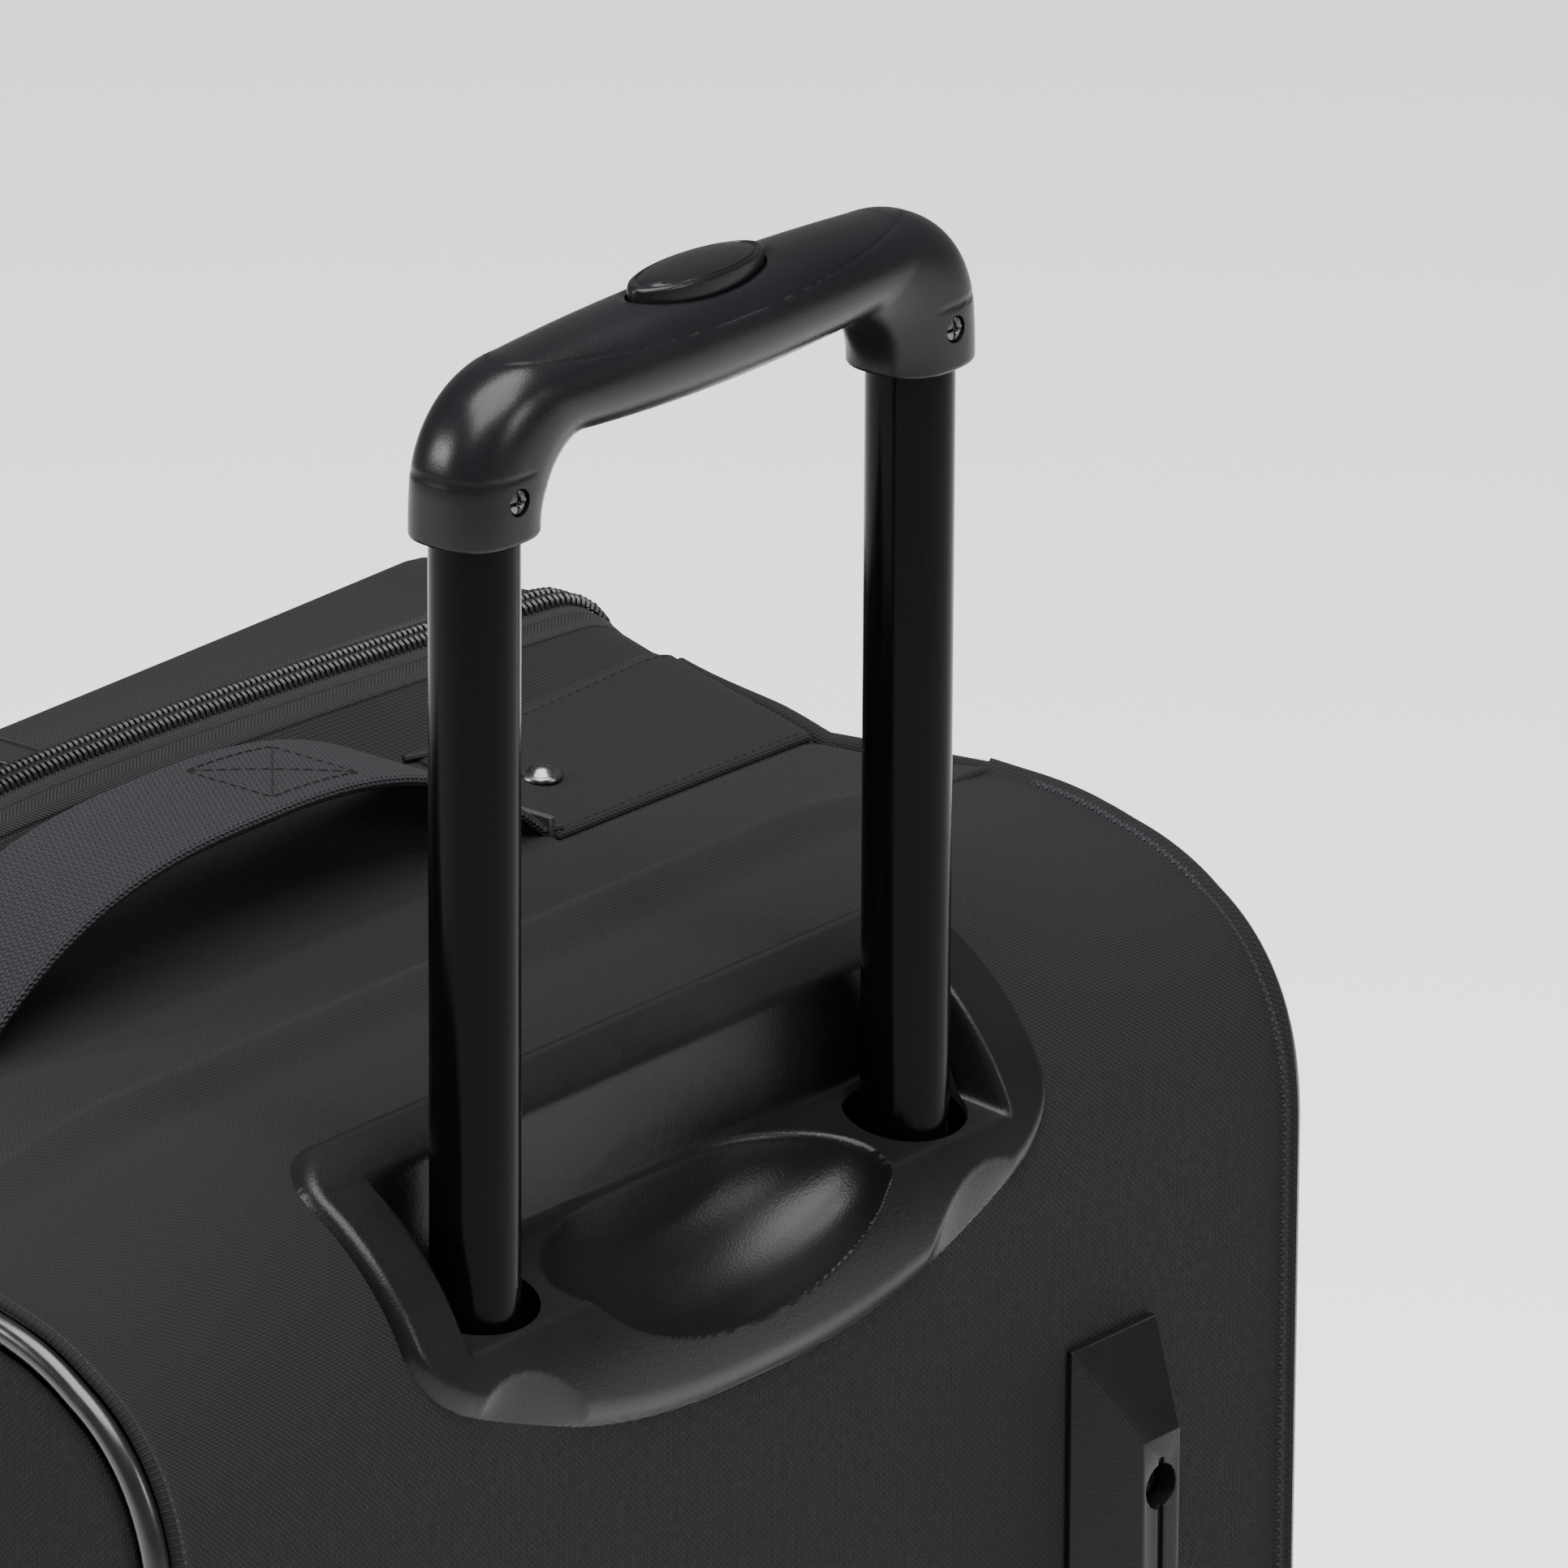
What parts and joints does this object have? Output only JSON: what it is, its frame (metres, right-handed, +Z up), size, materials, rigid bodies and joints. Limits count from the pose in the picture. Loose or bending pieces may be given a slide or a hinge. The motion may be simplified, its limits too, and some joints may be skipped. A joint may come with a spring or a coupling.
{
  "type": "softside upright suitcase",
  "caption": "Upright soft-sided suitcase with telescopic handle in a moulded recess, zipped front lid, front pockets, carry straps, skid rails and rear wheels.",
  "frame": {"origin": "on the floor, at the middle of the outer box, with the case standing on its wheels and front feet", "axes": "+X to the left side as seen from behind, +Y to the back, where the handle, rails and wheels are, +Z up"},
  "size_m": [0.428, 0.294, 0.8395],
  "materials": {
    "case_fabric": "fine plain-weave black polyester",
    "webbing": "ribbed black webbing",
    "zipper_tape": "herringbone zipper tape with a black coil",
    "piping": "glossy black vinyl piping",
    "satin_plastic": "fine-grained satin black moulding",
    "grip": "soft-touch satin black",
    "tube": "gloss black anodised tube",
    "steel": "plated steel",
    "zip_metal": "gloss black painted zinc",
    "tyre": "black polyurethane tyre"
  },
  "bodies": {
    "root": {"back_shell": "case_fabric", "top_panel": "case_fabric", "side_panel_left": "case_fabric", "side_panel_right": "case_fabric", "base_board": "satin_plastic", "case_band": "case_fabric", "edge_piping_left": "piping", "edge_piping_right": "piping", "zipper_tape_case": "zipper_tape", "top_strap": "webbing", "side_strap": "webbing", "side_foot_lower": "satin_plastic", "side_foot_upper": "satin_plastic", "handle_bezel": "satin_plastic", "tube_base_bracket": "satin_plastic", "outer_tube_left": "tube", "outer_tube_right": "tube", "skid_rail_left": "satin_plastic", "skid_rail_right": "satin_plastic", "wheel_housing_left": "satin_plastic", "wheel_housing_right": "satin_plastic", "axle_left": "steel", "axle_right": "steel", "front_foot_left": "satin_plastic", "front_foot_right": "satin_plastic"},
    "middle_stage": {"middle_tube_left": "tube", "middle_tube_right": "tube", "middle_collar_left": "satin_plastic", "middle_collar_right": "satin_plastic"},
    "handle": {"inner_tube_left": "tube", "inner_tube_right": "tube", "lock_plug_left": "satin_plastic", "lock_plug_right": "satin_plastic", "grip_body": "grip", "grip_cover": "grip", "grip_screw_left": "steel", "grip_screw_right": "steel"},
    "button": {"release_button": "grip", "release_bridge": "satin_plastic", "release_rod_left": "steel", "release_rod_right": "steel"},
    "pin_left": {"lock_pin_left": "steel"},
    "pin_right": {"lock_pin_right": "steel"},
    "lid": {"lid_panel": "case_fabric", "lid_band": "case_fabric", "lid_hinge_band": "case_fabric", "zipper_tape_lid": "zipper_tape", "lower_pocket": "case_fabric", "upper_pocket": "case_fabric"},
    "slider_left": {"main_slider_left": "zip_metal"},
    "slider_right": {"main_slider_right": "zip_metal"},
    "tab_left": {"pull_tab_left": "zip_metal"},
    "tab_right": {"pull_tab_right": "zip_metal"},
    "lower_slider": {"lower_pocket_slider": "zip_metal"},
    "upper_slider": {"upper_pocket_slider": "zip_metal"},
    "wheel_left": {"wheel_tyre_left": "tyre", "wheel_hub_left": "satin_plastic"},
    "wheel_right": {"wheel_tyre_right": "tyre", "wheel_hub_right": "satin_plastic"}
  },
  "joints": [
    {"name": "middle_stage_slide", "type": "slide", "parent": "root", "child": "middle_stage", "axis": [0, 0, 1], "range_m": [0, 0.2]},
    {"name": "upper_stage_slide", "type": "slide", "parent": "middle_stage", "child": "handle", "axis": [0, 0, 1], "range_m": [-0.174, 0]},
    {"name": "button_press", "type": "slide", "parent": "handle", "child": "button", "axis": [0, 0, -1], "range_m": [0, 0.003], "stiffness_N_per_m": 700, "springref_m": -0.004},
    {"name": "pin_left_draw", "type": "slide", "parent": "handle", "child": "pin_left", "axis": [-1, 0, 0], "range_m": [0, 0.0015]},
    {"name": "pin_right_draw", "type": "slide", "parent": "handle", "child": "pin_right", "axis": [1, 0, 0], "range_m": [0, 0.0015]},
    {"name": "lid_hinge", "type": "hinge", "parent": "root", "child": "lid", "pos_m": [0, -0.082, 0.0395], "axis": [1, 0, 0], "range_deg": [0, 110]},
    {"name": "slider_left_slide", "type": "slide", "parent": "root", "child": "slider_left", "axis": [1, 0, 0], "range_m": [0, 0.165]},
    {"name": "slider_right_slide", "type": "slide", "parent": "root", "child": "slider_right", "axis": [-1, 0, 0], "range_m": [0, 0.165]},
    {"name": "tab_left_flip", "type": "hinge", "parent": "slider_left", "child": "tab_left", "pos_m": [0.0078, -0.0884, 0.6631], "axis": [-1, 0, 0], "range_deg": [0, 100]},
    {"name": "tab_right_flip", "type": "hinge", "parent": "slider_right", "child": "tab_right", "pos_m": [-0.0078, -0.0884, 0.6631], "axis": [-1, 0, 0], "range_deg": [0, 100]},
    {"name": "lower_slider_slide", "type": "slide", "parent": "lid", "child": "lower_slider", "axis": [1, 0, 0], "range_m": [-0.13, 0.13]},
    {"name": "upper_slider_slide", "type": "slide", "parent": "lid", "child": "upper_slider", "axis": [1, 0, 0], "range_m": [-0.13, 0.13]},
    {"name": "wheel_left_spin", "type": "hinge", "parent": "root", "child": "wheel_left", "pos_m": [0.17, 0.111, 0.032], "axis": [1, 0, 0], "continuous": true},
    {"name": "wheel_right_spin", "type": "hinge", "parent": "root", "child": "wheel_right", "pos_m": [-0.17, 0.111, 0.032], "axis": [1, 0, 0], "continuous": true}
  ],
  "couplings": [
    {"joint": "pin_left_draw", "follows": "button_press", "ratio": 0.5},
    {"joint": "pin_right_draw", "follows": "button_press", "ratio": 0.5}
  ]
}
